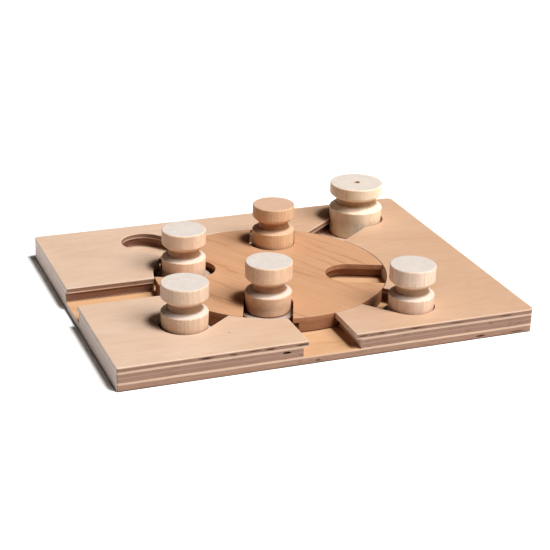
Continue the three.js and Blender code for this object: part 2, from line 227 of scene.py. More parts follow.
def ply_edge(name, stops, dark, seed=0.0, spots=(), x_face_sheen_tint=(1.07, 0.94, 0.855)):
    """The sawn edge of the plywood. stops are (z in mm, colour, end grain 0..1) from the bottom up, spots are
    (x, z, half length, half height) of dark patches in the front edge."""
    n = Nodes(name)
    x, y, z = n.xyz()
    s = n.math("ADD", x, y)
    d = n.math("SUBTRACT", x, y)
    wobble = n.math("MULTIPLY", n.math("SUBTRACT", n.noise(n.vec(n.math("DIVIDE", x, 34.0), n.math("DIVIDE", y, 34.0), n.math("ADD", n.math("DIVIDE", z, 9.0), seed)), 1.0, 2.0), 0.5), 0.7)
    fray = n.math("MULTIPLY", n.math("SUBTRACT", n.noise(n.vec(n.math("DIVIDE", s, 1.6), n.math("DIVIDE", d, 1.6), n.math("DIVIDE", z, 2.0)), 1.0, 2.0), 0.5), 0.30)
    zz = n.math("DIVIDE", n.math("ADD", z, n.math("ADD", wobble, fray)), 17.0)
    colours, ends = [], []
    for z0, colour, end in stops:
        colours.append((max(0.0, z0 / 17.0), colour))
        ends.append((max(0.0, z0 / 17.0), (end, end, end)))
    base = n.ramp(zz, colours, "LINEAR")
    end = n.ramp(zz, ends, "LINEAR")
    fine = n.noise(n.vec(n.math("DIVIDE", s, 0.8), n.math("DIVIDE", d, 0.8), n.math("DIVIDE", z, 0.45)), 1.0, 3.0, 0.6)
    fibre = n.noise(n.vec(n.math("DIVIDE", s, 24.0), n.math("DIVIDE", d, 24.0), n.math("DIVIDE", z, 0.30)), 1.0, 3.0, 0.55)
    layer = n.noise(n.vec(n.math("DIVIDE", s, 60.0), n.math("DIVIDE", d, 60.0), n.math("DIVIDE", z, 0.9)), 1.0, 2.0, 0.5)
    blob = n.noise(n.vec(n.math("DIVIDE", s, 9.0), n.math("DIVIDE", d, 9.0), n.math("ADD", n.math("DIVIDE", z, 1.8), seed)), 1.0, 2.0, 0.5)
    area_gate = n.noise(n.vec(n.math("DIVIDE", s, 40.0), n.math("DIVIDE", d, 40.0), n.math("ADD", n.math("DIVIDE", z, 6.0), seed + 9.0)), 1.0, 1.0, 0.5)
    blob_mask = n.math("MULTIPLY", n.math("MULTIPLY", n.remap(blob, 0.53, 0.64, smooth=True), end), n.remap(area_gate, 0.44, 0.60, 0.05, 0.42))
    colour = n.scale_colour(base, n.remap(layer, 0.3, 0.7, 0.90, 1.09))
    colour = n.scale_colour(colour, n.remap(fibre, 0.25, 0.75, 0.88, 1.10))
    colour = n.scale_colour(colour, n.remap(fine, 0.25, 0.75, 0.94, 1.06))
    colour = n.mix(blob_mask, colour, dark)
    for sx, sz, hl, hh in spots:
        near = n.math("ADD", n.math("POWER", n.math("DIVIDE", n.math("SUBTRACT", x, sx), hl), 2.0),
                      n.math("ADD", n.math("POWER", n.math("DIVIDE", n.math("SUBTRACT", z, sz), hh), 2.0), n.math("MULTIPLY", n.math("SUBTRACT", fine, 0.5), 1.6)))
        front = n.remap(y, -118.0, -116.0, 1.0, 0.0)
        colour = n.mix(n.math("MULTIPLY", n.remap(near, 0.35, 1.25, 0.85, 0.0), front), colour, tuple(c * 0.8 for c in dark))
    # on walls that face along X the plies are coloured lighter and greyer, more so towards the back: partly their long
    # grain, partly a painted grey sheen, the reflection of bright surroundings at a grazing angle
    geo = n.add("ShaderNodeNewGeometry")
    sep = n.add("ShaderNodeSeparateXYZ")
    n.put(sep.inputs[0], geo.outputs["True Normal"])
    x_face_sheen_mask = n.remap(n.math("MULTIPLY", sep.outputs[0], -1.0), 0.75, 0.98)
    colour = n.mix(n.math("MULTIPLY", x_face_sheen_mask, 0.55), colour, n.scale_colour(n.mix(0.0, x_face_sheen_tint, x_face_sheen_tint), n.math("MULTIPLY", n.remap(y, -20.0, 119.0, 1.0, 1.28), n.remap(fibre, 0.25, 0.75, 0.88, 1.06))))
    # painted shade: darker and warmer in gaps and inner corners of the ply edge
    colour = n.painted_crevice_shade(colour, 9.0, 0.7)
    height = n.math("ADD", n.math("MULTIPLY", fibre, 0.6), n.math("ADD", n.math("MULTIPLY", fine, 0.5), n.math("MULTIPLY", blob_mask, -1.0)))
    rough = n.remap(fine, 0.2, 0.8, 0.62, 0.82)
    return n.finish(colour, rough, n.bump(height, 0.5, 0.10), specular=0.25)


def void_painted_shade(name):
    """The inside of a gap in a core ply: torn fibre, coloured near black as painted shade of the hollow."""
    n = Nodes(name)
    x, y, z = n.xyz()
    torn = n.noise(n.vec(n.math("DIVIDE", x, 0.7), n.math("DIVIDE", y, 0.7), n.math("DIVIDE", z, 0.25)), 1.0, 3.0, 0.6)
    colour = n.mix(n.remap(torn, 0.3, 0.7), (0.022, 0.011, 0.007), (0.07, 0.032, 0.02))
    return n.finish(colour, n.remap(torn, 0.3, 0.7, 0.8, 0.95), n.bump(torn, 0.6, 0.2), specular=0.1)


def disc_wood(name, light, mid, dark, grain_deg, seed=0.0):
    """Plain-sawn alder: long diagonal streaks, latewood lines and fine fibre, the same wood on face and rim."""
    n = Nodes(name)
    x, y, z = n.xyz()
    u, v = rotated(n, x, y, grain_deg)
    warp = n.noise(n.vec(n.math("DIVIDE", u, 130.0), n.math("DIVIDE", v, 42.0), seed), 1.0, 3.0, 0.5)
    vv = n.math("ADD", v, n.math("MULTIPLY", n.math("SUBTRACT", warp, 0.5), 26.0))
    depth = n.math("ADD", z, 46.0)
    ring = n.math("SQRT", n.math("ADD", n.math("POWER", n.math("ADD", vv, 17.0), 2.0), n.math("POWER", depth, 2.0)))
    jitter = n.noise(n.vec(n.math("DIVIDE", u, 70.0), n.math("DIVIDE", v, 9.0), n.math("ADD", n.math("DIVIDE", z, 9.0), seed)), 1.0, 3.0, 0.55)
    phase = n.math("ADD", n.math("DIVIDE", ring, 8.5), n.math("MULTIPLY", jitter, 1.5))
    saw = n.math("FRACT", phase)
    late = n.remap(saw, 0.62, 0.97, smooth=True)
    late = n.math("MULTIPLY", late, n.remap(saw, 0.97, 1.0, 1.0, 0.0))
    gate = n.remap(n.noise(n.vec(n.math("DIVIDE", u, 55.0), n.math("DIVIDE", v, 18.0), seed + 4.0), 1.0, 2.0), 0.36, 0.62)
    streak = n.noise(n.vec(n.math("DIVIDE", u, 60.0), n.math("DIVIDE", v, 2.4), n.math("ADD", n.math("DIVIDE", z, 2.4), seed)), 1.0, 4.0, 0.6)
    fibre = n.noise(n.vec(n.math("DIVIDE", u, 9.0), n.math("DIVIDE", v, 0.35), n.math("DIVIDE", z, 0.35)), 1.0, 3.0, 0.6)
    pores = n.remap(n.noise(n.vec(n.math("DIVIDE", u, 2.2), n.math("DIVIDE", v, 0.2), n.math("DIVIDE", z, 0.2)), 1.0, 1.0, 0.4), 0.62, 0.75)
    colour = n.mix(n.remap(streak, 0.3, 0.7), mid, light)
    colour = n.mix(n.math("MULTIPLY", n.math("MULTIPLY", late, gate), 0.62), colour, dark)
    colour = n.scale_colour(colour, n.remap(fibre, 0.25, 0.75, 0.95, 1.05))
    colour = n.mix(n.math("MULTIPLY", pores, 0.12), colour, tuple(c * 0.35 for c in dark))
    # the sawn rim and compartment walls are coloured darker and redder than the sanded face: partly the sawn wood,
    # partly painted shade on walls that face sideways
    geo = n.add("ShaderNodeNewGeometry")
    sep = n.add("ShaderNodeSeparateXYZ")
    n.put(sep.inputs[0], geo.outputs["True Normal"])
    wall = n.remap(n.math("ABSOLUTE", sep.outputs[2]), 0.2, 0.6, 1.0, 0.0)
    colour = n.mix(n.math("MULTIPLY", wall, 0.55), colour, n.scale_colour(n.mix(0.0, (0.30, 0.13, 0.07), (0.0, 0.0, 0.0)), n.remap(fibre, 0.25, 0.75, 0.8, 1.2)))
    rim = n.attribute("rim")
    wear = n.math("MULTIPLY", rim, n.remap(n.noise(n.vec(n.math("DIVIDE", x, 7.0), n.math("DIVIDE", y, 7.0), z), 1.0, 3.0), 0.35, 0.6, 0.3, 0.9))
    colour = n.mix(n.math("MULTIPLY", wear, 0.4), colour, tuple(min(1.0, c * 1.2 + 0.03) for c in light))
    # painted shade: walls that face sideways darkened further
    colour = n.mix(wall, colour, n.mix(1.0, colour, (0.80, 0.73, 0.68), "MULTIPLY"))
    # painted shade: darker and warmer in gaps and inner corners of the disc
    colour = n.painted_crevice_shade(colour, 12.0, 0.7)
    rough = n.remap(fibre, 0.25, 0.8, 0.42, 0.58)
    height = n.math("ADD", n.math("MULTIPLY", fibre, 0.6), n.math("ADD", n.math("MULTIPLY", pores, -0.6), n.math("MULTIPLY", late, 0.10)))
    return n.finish(colour, rough, n.bump(height, 0.35, 0.05), specular=0.35)


def turned_wood(name, cx, cy, side, side_dark, top, top_dark, pith, seed, ring_mm=2.3, ring=0.5, stripe=1.0, groove_shade=None):
    """Turned beech: rings round a pith that show on the end grain and run down the sides, fine fibre and ray flecks."""
    n = Nodes(name)
    x, y, z = n.xyz()
    lx, ly = n.math("SUBTRACT", x, cx), n.math("SUBTRACT", y, cy)
    warp = n.noise(n.vec(n.math("DIVIDE", lx, 9.0), n.math("DIVIDE", ly, 9.0), n.math("ADD", n.math("DIVIDE", z, 60.0), seed)), 1.0, 2.0, 0.5)
    px, py = n.math("SUBTRACT", lx, pith[0]), n.math("SUBTRACT", ly, pith[1])
    rho = n.math("SQRT", n.math("ADD", n.math("POWER", px, 2.0), n.math("POWER", py, 2.0)))
    phase = n.math("ADD", n.math("DIVIDE", rho, ring_mm), n.math("MULTIPLY", warp, 1.1))
    saw = n.math("FRACT", phase)
    late = n.math("MULTIPLY", n.remap(saw, 0.35, 0.93, smooth=True), n.remap(saw, 0.93, 1.0, 1.0, 0.0))
    # fibre: very fine across, long in Z
    fibre = n.noise(n.vec(n.math("DIVIDE", lx, 0.55), n.math("DIVIDE", ly, 0.55), n.math("ADD", n.math("DIVIDE", z, 26.0), seed)), 1.0, 3.0, 0.6)
    broad = n.noise(n.vec(n.math("DIVIDE", lx, 4.5), n.math("DIVIDE", ly, 4.5), n.math("ADD", n.math("DIVIDE", z, 90.0), seed)), 1.0, 2.0, 0.5)
    fleck = n.remap(n.noise(n.vec(n.math("DIVIDE", lx, 0.5), n.math("DIVIDE", ly, 0.5), n.math("DIVIDE", z, 1.7)), 1.0, 1.0, 0.4), 0.64, 0.74)
    pore = n.remap(n.noise(n.vec(n.math("DIVIDE", lx, 0.28), n.math("DIVIDE", ly, 0.28), n.math("DIVIDE", z, 5.0)), 1.0, 1.0, 0.4), 0.60, 0.75)
    geo = n.add("ShaderNodeNewGeometry")
    sep = n.add("ShaderNodeSeparateXYZ")
    n.put(sep.inputs[0], geo.outputs["Normal"])
    up = n.remap(n.math("ABSOLUTE", sep.outputs[2]), 0.80, 0.97, smooth=True)
    lines = n.math("ADD", n.math("MULTIPLY", n.remap(fibre, 0.3, 0.72), 0.62), n.math("MULTIPLY", late, 0.38))
    sides = n.mix(n.math("MULTIPLY", lines, 0.85 * stripe, clamp=True), side, side_dark)
    sides = n.scale_colour(sides, n.remap(broad, 0.3, 0.7, 0.93, 1.06))
    sides = n.scale_colour(sides, n.remap(n.noise(n.vec(n.math("DIVIDE", lx, 2.2), n.math("DIVIDE", ly, 2.2), n.math("DIVIDE", z, 3.0)), 1.0, 2.0, 0.5), 0.3, 0.7, 0.93, 1.05))
    sides = n.mix(n.math("MULTIPLY", fleck, 0.38), sides, tuple(c * 0.62 for c in side_dark))
    ends = n.mix(n.math("MULTIPLY", late, ring), top, top_dark)
    speck = n.noise(n.vec(n.math("DIVIDE", lx, 0.9), n.math("DIVIDE", ly, 0.9), seed), 1.0, 2.0, 0.6)
    ends = n.scale_colour(ends, n.remap(fibre, 0.25, 0.75, 0.93, 1.05))
    ends = n.scale_colour(ends, n.remap(speck, 0.3, 0.7, 0.94, 1.05))
    ends = n.scale_colour(ends, n.remap(broad, 0.3, 0.7, 0.95, 1.03))
    ends = n.mix(n.math("MULTIPLY", pore, 0.16), ends, tuple(c * 0.6 for c in top_dark))
    heart = n.remap(rho, 0.0, 3.0, 0.35, 0.0)
    ends = n.mix(heart, ends, tuple(c * 0.80 for c in top_dark))
    colour = n.mix(up, sides, ends)
    rim = n.attribute("rim")
    wear = n.math("MULTIPLY", rim, n.remap(n.noise(n.vec(n.math("DIVIDE", lx, 4.0), n.math("DIVIDE", ly, 4.0), n.math("DIVIDE", z, 4.0)), 1.0, 3.0), 0.35, 0.6, 0.4, 1.0))
    colour = n.mix(n.math("MULTIPLY", wear, 0.35), colour, tuple(min(1.0, c * 1.06 + 0.04) for c in side))
    if groove_shade:
        # the turned waist is painted darker brown: painted shade at its bottom, fading out along the two flanks
        rim_r, neck_r, z_mid = groove_shade
        reach = n.math("SQRT", n.math("ADD", n.math("POWER", lx, 2.0), n.math("POWER", ly, 2.0)))
        above = n.remap(z, z_mid - 1.2, z_mid + 1.2)
        low = n.remap(reach, neck_r + 0.4 * (rim_r - neck_r), neck_r, smooth=True)
        high = n.remap(reach, neck_r + 0.85 * (rim_r - neck_r), neck_r + 0.1 * (rim_r - neck_r), smooth=True)
        flank = n.math("ADD", n.math("MULTIPLY", high, above), n.math("MULTIPLY", low, n.math("SUBTRACT", 1.0, above)))
        ends_off = n.math("MULTIPLY", n.remap(z, z_mid - 4.4, z_mid - 3.4), n.remap(z, z_mid + 7.6, z_mid + 6.2))
        inside = n.math("MULTIPLY", flank, ends_off)
        colour = n.mix(inside, colour, n.mix(1.0, colour, (0.50, 0.38, 0.28), "MULTIPLY"))
    # painted shade: darker and warmer in gaps and inner corners of the turned piece
    colour = n.painted_crevice_shade(colour, 16.0, 0.85)
    rough = n.remap(n.math("ADD", fibre, n.math("MULTIPLY", up, 0.2)), 0.25, 0.95, 0.46, 0.70)
    height = n.math("ADD", n.math("MULTIPLY", fibre, 0.5), n.math("ADD", n.math("MULTIPLY", pore, -0.4), n.math("MULTIPLY", late, 0.22)))
    return n.finish(colour, rough, n.bump(height, 0.35, 0.06), specular=0.32)


def steel(name):
    n = Nodes(name)
    x, y, z = n.xyz()
    scratch = n.noise(n.vec(n.math("DIVIDE", x, 0.2), n.math("DIVIDE", y, 2.0), n.math("DIVIDE", z, 0.2)), 1.0, 3.0, 0.6)
    stain = n.noise(n.vec(n.math("DIVIDE", x, 3.0), n.math("DIVIDE", y, 3.0), n.math("DIVIDE", z, 3.0)), 1.0, 3.0, 0.5)
    colour = n.mix(n.remap(stain, 0.4, 0.7), (0.62, 0.63, 0.64), (0.45, 0.43, 0.38))
    return n.finish(colour, n.remap(scratch, 0.3, 0.7, 0.24, 0.42), n.bump(scratch, 0.3, 0.03), specular=0.5, metallic=1.0)


# -------------------------------------------------------------------- outline helpers

def cad_loops(node, z_mm, tol=0.04):
    """Outlines in mm of a CAD node's flat face at height z: the outer one counter-clockwise, holes clockwise."""
    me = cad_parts[node].data
    edges = {}
    for poly in me.polygons:
        vs = [me.vertices[i].co for i in poly.vertices]
        if any(abs(v.z * 1000 - z_mm) > tol for v in vs):
            continue
        ks = [(round(v.x * 1000, 3), round(v.y * 1000, 3)) for v in vs]
        if poly.normal.z < 0:
            ks.reverse()
        for a, b in zip(ks, ks[1:] + ks[:1]):
            if (b, a) in edges:
                del edges[(b, a)]
            elif a != b:
                edges[(a, b)] = True
    follow = {}
    for a, b in edges:
        follow.setdefault(a, []).append(b)
    loops = []
    while follow:
        start = next(iter(follow))
        loop, here = [start], start
        while True:
            nexts = follow[here]
            there = nexts.pop(0)
            if not nexts:
                del follow[here]
            if there == start:
                break
            loop.append(there)
            here = there
        loops.append([Vector(p) for p in loop])
    loops = [tidy(l) for l in loops]
    loops.sort(key=lambda l: -abs(area(l)))
    return [refine_arcs(l) for l in loops]


def area(loop):
    return 0.5 * sum(a.x * b.y - b.x * a.y for a, b in zip(loop, loop[1:] + loop[:1]))


def turn(a, b, c):
    d1, d2 = b - a, c - b
    return math.atan2(d1.x * d2.y - d1.y * d2.x, d1.dot(d2))


def tidy(loop):
    """Drops points closer than 0.02 mm and points on a straight line."""
    out = [p for i, p in enumerate(loop) if (p - loop[i - 1]).length > 0.02]
    changed = True
    while changed:
        changed = False
        for i in range(len(out)):
            a, b, c = out[i - 1], out[i], out[(i + 1) % len(out)]
            if abs(turn(a, b, c)) < math.radians(0.25):
                del out[i]
                changed = True
                break
    return out


def refine_arcs(loop):
    """Puts a point on the arc in the middle of each facet of a curve."""
    n = len(loop)
    turns = [turn(loop[i - 1], loop[i], loop[(i + 1) % n]) for i in range(n)]
    out = []
    for i in range(n):
        a, b = loop[i], loop[(i + 1) % n]
        t0, t1 = turns[i], turns[(i + 1) % n]
        out.append(a)
        curve = [t for t in (t0, t1) if math.radians(0.8) < abs(t) < math.radians(19)]
        if len(curve) == 2 and t0 * t1 > 0 and (b - a).length < 8.0:
            step = max(curve, key=abs)
            d = (b - a).normalized()
            right = Vector((d.y, -d.x))
            bulge = (b - a).length / 2 * math.tan(abs(step) / 4)
            out.append((a + b) / 2 + right * bulge * (1 if step > 0 else -1))
    return out


def inset(loop, amount):
    """Moves an outline towards its left, which is into the material, by amount mm."""
    if abs(amount) < 1e-9:
        return list(loop)
    out, n = [], len(loop)
    for i in range(n):
        d1 = (loop[i] - loop[i - 1]).normalized()
        d2 = (loop[(i + 1) % n] - loop[i]).normalized()
        n1, n2 = Vector((-d1.y, d1.x)), Vector((-d2.y, d2.x))
        k = max(0.25, 1 + n1.dot(n2))
        out.append(loop[i] + (n1 + n2) * (amount / k))
    return out


# ------------------------------------------------------------------------ mesh makers

def finish_mesh(name, verts, faces, face_mats, rims, materials, sharp_deg=24.0):
    me = bpy.data.meshes.new(name)
    me.from_pydata([(v[0] * MM, v[1] * MM, v[2] * MM) for v in verts], [], faces)
    me.validate()
    for m in materials:
        me.materials.append(m)
    me.polygons.foreach_set("material_index", face_mats)
    me.polygons.foreach_set("use_smooth", [True] * len(me.polygons))
    attribute = me.attributes.new("rim", "FLOAT", "POINT")
    attribute.data.foreach_set("value", np.array(rims, np.float32))
    me.update()
    me.set_sharp_from_angle(angle=math.radians(sharp_deg))
    obj = bpy.data.objects.new(name, me)
    COLLECTION.objects.link(obj)
    return obj


def plate(name, rings, materials, wall_slots=None):
    """A sheet from outlines. rings is [(outline, [(z, inset, rim, slot of the band above), ...]), ...], each list running
    from the bottom up, and all with the same first and last z. The first ring is the outside, the others are holes."""
    verts, faces, mats, rims = [], [], [], []
    bottoms, tops = [], []
    for outline, levels in rings:
        n, first = len(outline), len(verts)
        for (z, ins, rim, slot) in levels:
            for p in inset(outline, ins):
                verts.append((p.x, p.y, z))
                rims.append(rim)
        for k in range(len(levels) - 1):
            for i in range(n):
                j = (i + 1) % n
                faces.append((first + k * n + i, first + k * n + j, first + (k + 1) * n + j, first + (k + 1) * n + i))
                mats.append(levels[k][3])
        bottoms.append(list(range(first, first + n)))
        tops.append(list(range(first + (len(levels) - 1) * n, first + len(levels) * n)))
    for cap, upward in ((tops, True), (bottoms, False)):
        flat = [i for ring in cap for i in ring]
        tris = tessellate_polygon([[Vector((verts[i][0], verts[i][1], 0)) for i in ring] for ring in cap])
        for t in tris:
            a, b, c = (flat[i] for i in t)
            ax, ay, bx, by, cx, cy = *verts[a][:2], *verts[b][:2], *verts[c][:2]
            twice = (bx - ax) * (cy - ay) - (by - ay) * (cx - ax)
            if (twice > 0) != upward:
                a, c = c, a
            faces.append((a, b, c))
            mats.append(0)
    return finish_mesh(name, verts, faces, mats, rims, materials)


def sheet_levels(z0, z1, joints=(), face=0.0, r_top=0.35, r_bottom=0.12, relief=0.05, wall=1):
    """Levels for one sheet's edge: eased arrises, and a shallow step where a cross ply is sanded back."""
    out = [(z0, r_bottom, 0.0, wall), (z0 + r_bottom, 0.0, 0.0, wall)]
    for a, b in joints:
        out += [(a, 0.0, 0.0, wall), (a + 0.08, relief, 0.0, wall), (b - 0.08, relief, 0.0, wall), (b, 0.0, 0.0, wall)]
    if r_top > 0:
        for k in range(4):
            t = math.pi / 2 * k / 3
            out.append((z1 - r_top + r_top * math.sin(t), r_top * (1 - math.cos(t)), 1.0 if k > 0 else 0.6, 0))
        out.append((z1, r_top + 0.5, 0.0, 0))
    else:
        out.append((z1, 0.0, 0.0, 0))
    return out


def arc_profile(points, fine=6):
    """A turned profile from (r, z, rounding) corners, each corner rounded by an arc of that radius."""
    out = []
    n = len(points)
    for i, (r, z, rounding) in enumerate(points):
        p = Vector((r, z))
        if rounding <= 0 or i == 0 or i == n - 1:
            out.append((r, z, 0.0))
            continue
        a = Vector(points[i - 1][:2]) - p
        b = Vector(points[i + 1][:2]) - p
        da, db = a.normalized(), b.normalized()
        angle = math.acos(max(-1, min(1, da.dot(db))))
        cut = rounding / math.tan(angle / 2)
        cut = min(cut, a.length * 0.45, b.length * 0.45)
        radius = cut * math.tan(angle / 2)
        centre = p + (da + db).normalized() * (radius / math.sin(angle / 2))
        s, e = p + da * cut, p + db * cut
        a0 = math.atan2(s.y - centre.y, s.x - centre.x)
        a1 = math.atan2(e.y - centre.y, e.x - centre.x)
        sweep = (a1 - a0 + math.pi) % (2 * math.pi) - math.pi
        cross = da.x * db.y - da.y * db.x
        rim = 1.0 if cross > 0 else 0.0
        out.append((s.x + da.x * 0.06, s.y + da.y * 0.06, 0.0))
        for k in range(fine + 1):
            t = a0 + sweep * k / fine
            out.append((centre.x + radius * math.cos(t), centre.y + radius * math.sin(t), rim * math.sin(math.pi * k / fine) ** 0.5 if fine else rim))
        out.append((e.x + db.x * 0.06, e.y + db.y * 0.06, 0.0))
    return out


def split_long(profile, most=3.0):
    """Adds points along long straight stretches, so that the piece has even rings of faces."""
    out = [profile[0]]
    for a, b in zip(profile, profile[1:]):
        length = math.hypot(b[0] - a[0], b[1] - a[1])
        steps = max(1, math.ceil(length / most))
        for k in range(1, steps + 1):
            t = k / steps
            out.append((a[0] + (b[0] - a[0]) * t, a[1] + (b[1] - a[1]) * t, a[2] if k < steps and a[2] == b[2] else (b[2] if k == steps else 0.0)))
    return out


def lathe(name, cx, cy, profile, materials, segments=112, seed=1, uneven=0.03, sharp_deg=32.0, start_deg=0.0):
    """Turns a profile of (r, z, rim) about the vertical through (cx, cy). It starts and ends on the axis. uneven is the
    height in mm of the slight waviness that hand sanding leaves."""
    rng = random.Random(seed)
    phases = [(rng.uniform(0, 2 * math.pi), rng.uniform(0, 2 * math.pi), rng.uniform(0.5, 1.0)) for _ in range(4)]

    def wave(t, z):
        return sum(w * math.sin((k + 2) * t + p + q * z * 0.05) for k, (p, q, w) in enumerate(phases)) / 4

    verts, faces, rims = [], [], []
    rows = []
    for r, z, rim in profile:
        if r < 1e-6:
            rows.append([len(verts)])
            verts.append((cx, cy, z))
            rims.append(rim)
            continue
        row = []
        for s in range(segments):
            t = 2 * math.pi * s / segments + math.radians(start_deg)
            rr = r - uneven * (0.5 + 0.5 * wave(t, z)) * min(1.0, r / 8.0)
            row.append(len(verts))
            verts.append((cx + rr * math.cos(t), cy + rr * math.sin(t), z))
            rims.append(rim)
        rows.append(row)
    for lower, upper in zip(rows, rows[1:]):
        for s in range(segments):
            t = (s + 1) % segments
            if len(lower) == 1 and len(upper) == 1:
                continue
            if len(lower) == 1:
                faces.append((lower[0], upper[t], upper[s]))
            elif len(upper) == 1:
                faces.append((lower[s], lower[t], upper[0]))
            else:
                faces.append((lower[s], lower[t], upper[t], upper[s]))
    obj = finish_mesh(name, verts, faces, [0] * len(faces), rims, materials, sharp_deg)
    return obj


def cut_with(obj, cutters):
    """Cuts small closed cutters out of a piece and applies the result."""
    for c in cutters:
        m = obj.modifiers.new("cut", "BOOLEAN")
        m.operation = "DIFFERENCE"
        m.solver = "EXACT"
        m.material_mode = "INDEX"
        m.object = c
    bpy.context.view_layer.update()
    dg = bpy.context.evaluated_depsgraph_get()
    me = bpy.data.meshes.new_from_object(obj.evaluated_get(dg))
    obj.modifiers.clear()
    old = obj.data
    obj.data = me
    bpy.data.meshes.remove(old)
    for c in cutters:
        data = c.data
        bpy.data.objects.remove(c)
        bpy.data.meshes.remove(data)
    return obj


def lump(centre, radii, seed, rough=0.22, slot=2):
    """A small irregular closed pebble, used to cut a core void or a chip. The cut takes the piece's material in slot."""
    rng = random.Random(seed)
    bm = bmesh.new()
    bmesh.ops.create_icosphere(bm, subdivisions=2, radius=1.0)
    for v in bm.verts:
        k = 1 + rng.uniform(-rough, rough)
        v.co = Vector(((centre[0] + v.co.x * radii[0] * k) * MM, (centre[1] + v.co.y * radii[1] * k) * MM, (centre[2] + v.co.z * radii[2] * k) * MM))
    for face in bm.faces:
        face.material_index = slot
    me = bpy.data.meshes.new("cutter")
    bm.to_mesh(me)
    bm.free()
    for _ in range(slot + 1):
        me.materials.append(mat_void)
    obj = bpy.data.objects.new("cutter", me)
    COLLECTION.objects.link(obj)
    return obj


def place(obj, body, slot, *nodes):
    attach(obj, body)
    if nodes:
        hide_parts(*nodes)
    return obj


# --------------------------------------------------------------------- colours (linear)

BIRCH_LIGHT = (0.653, 0.480, 0.364)
BIRCH_DARK = (0.596, 0.414, 0.300)
BIRCH_FAR = (0.604, 0.396, 0.265)
BIRCH_CORNER_FAR = (0.631, 0.442, 0.313)
FLOOR_LIGHT = (0.66, 0.40, 0.225)
FLOOR_DARK = (0.58, 0.335, 0.18)
FLOOR_BACK = (0.65, 0.47, 0.345)
EDGE_VENEER = (0.60, 0.42, 0.31)
EDGE_CORE = (0.262, 0.150, 0.104)
EDGE_MID_DARK = (0.298, 0.172, 0.125)
EDGE_MID_LIGHT = (0.355, 0.222, 0.163)
EDGE_BASE = (0.325, 0.193, 0.133)
EDGE_CONTACT_SHADE = (0.125, 0.07, 0.052)
EDGE_DARK = (0.085, 0.038, 0.024)
DISC_LIGHT = (0.585, 0.325, 0.186)
DISC_MID = (0.515, 0.275, 0.146)
DISC_DARK = (0.34, 0.145, 0.063)
BEECH_SIDE = (0.70, 0.51, 0.38)
BEECH_SIDE_DARK = (0.54, 0.36, 0.245)
BEECH_TOP = (0.645, 0.577, 0.528)
BEECH_TOP_DARK = (0.58, 0.49, 0.43)

# ------------------------------------------------------------------------ the sheets

def bands(*items):
    """Flat bands with short soft steps between them, from (z where it starts, colour, end grain)."""
    out = []
    for i, (z0, colour, end) in enumerate(items):
        z1 = items[i + 1][0] if i + 1 < len(items) else 17.0
        step = 0.16 if i else 0.0
        out += [(z0 + step, colour, end), (z1 - 0.16 if i + 1 < len(items) else z1, colour, end)]
    return out


# the lowest band, from 0 to 0.75 mm, is dark: painted contact shadow along the bottom of the edge
edge_stops = bands(
    (0.0, EDGE_CONTACT_SHADE, 0.2), (0.75, EDGE_BASE, 0.6), (4.55, EDGE_VENEER, 0.0), (6.15, EDGE_MID_DARK, 0.8), (8.9, EDGE_MID_LIGHT, 0.2),
    (9.8, EDGE_MID_DARK, 0.8), (12.25, EDGE_VENEER, 0.0), (13.85, EDGE_CORE, 1.0), (16.2, EDGE_VENEER, 0.0))
mat_void = void_painted_shade("core_void")
mat_edge = ply_edge("ply_edge", edge_stops, EDGE_DARK, seed=2.0, spots=(
    (-90.0, 15.0, 5.5, 0.75), (-72.0, 15.0, 3.0, 0.6), (-58.0, 15.2, 5.0, 0.45), (-46.0, 15.0, 4.0, 0.65), (-24.0, 14.9, 4.5, 0.6),
    (109.0, 2.2, 4.2, 0.85), (-12.4, 2.1, 1.6, 0.8), (20.0, 14.9, 3.2, 0.6), (34.0, 15.1, 2.0, 0.5), (59.0, 15.2, 6.0, 0.5), (128.0, 15.0, 5.0, 0.55),
    (90.0, 15.0, 6.0, 0.45), (137.0, 1.8, 7.0, 0.6)))
mat_top_main = birch_face("birch_top_main", BIRCH_LIGHT, BIRCH_DARK, 0.0, 1.7, knots=((118.0, 62.0, 0.5),), figure=0.65, far=(BIRCH_FAR, -40.0, 60.0))
mat_top_corner = birch_face("birch_top_corner", BIRCH_LIGHT, BIRCH_DARK, 0.0, 9.4, knots=((-65.0, -90.7, 0.75),), figure=0.45, far=(BIRCH_CORNER_FAR, -110.0, -50.0))
mat_floor_face = birch_face("birch_floor", FLOOR_LIGHT, FLOOR_DARK, 0.0, 23.1, figure=1.2, far=(FLOOR_BACK, 30.0, 52.0, 1))
mat_ledge = birch_face("birch_ledge", BIRCH_LIGHT, BIRCH_DARK, 90.0, 31.0)
mat_disc = disc_wood("disc_alder", DISC_LIGHT, DISC_MID, DISC_DARK, -61.0, 5.0)
# the disc's lower layer: the same alder darkened by 10 to 20 per cent, painted shade for the undercut beneath the top
# layer
mat_disc_low = disc_wood("disc_alder_lower_shaded", tuple(c * 0.9 for c in DISC_LIGHT), tuple(c * 0.82 for c in DISC_MID), tuple(c * 0.8 for c in DISC_DARK), -61.0, 17.0)
mat_steel = steel("screw_steel")

outer_base = cad_loops("base_plate", 5.5)[0]
hole_base = [Vector((-1.2 + 2.7 * math.cos(t), 1.3 + 2.7 * math.sin(t))) for t in [-2 * math.pi * k / 48 for k in range(48)]]
base_rings = [
    (outer_base, sheet_levels(0.0, 5.5, joints=((0.9, 4.5),), r_top=0.12, r_bottom=0.25)),
    (hole_base, [(0.0, -2.75, 0.0, 1), (3.0, -0.02, 0.0, 1), (5.38, 0.0, 0.0, 1), (5.5, 0.1, 0.0, 0)]),
]
base = plate("base_sheet", base_rings, [mat_floor_face, mat_edge, mat_void])
cut_with(base, [
    lump((109.0, -119.5, 2.2), (2.6, 0.35, 0.45), 11),
    lump((-150.1, 62.0, 2.6), (0.5, 2.0, 0.35), 13),
    lump((40.0, 119.6, 2.4), (2.2, 0.5, 0.4), 14),
])
place(base, "board", "birch_ply", "base_plate")

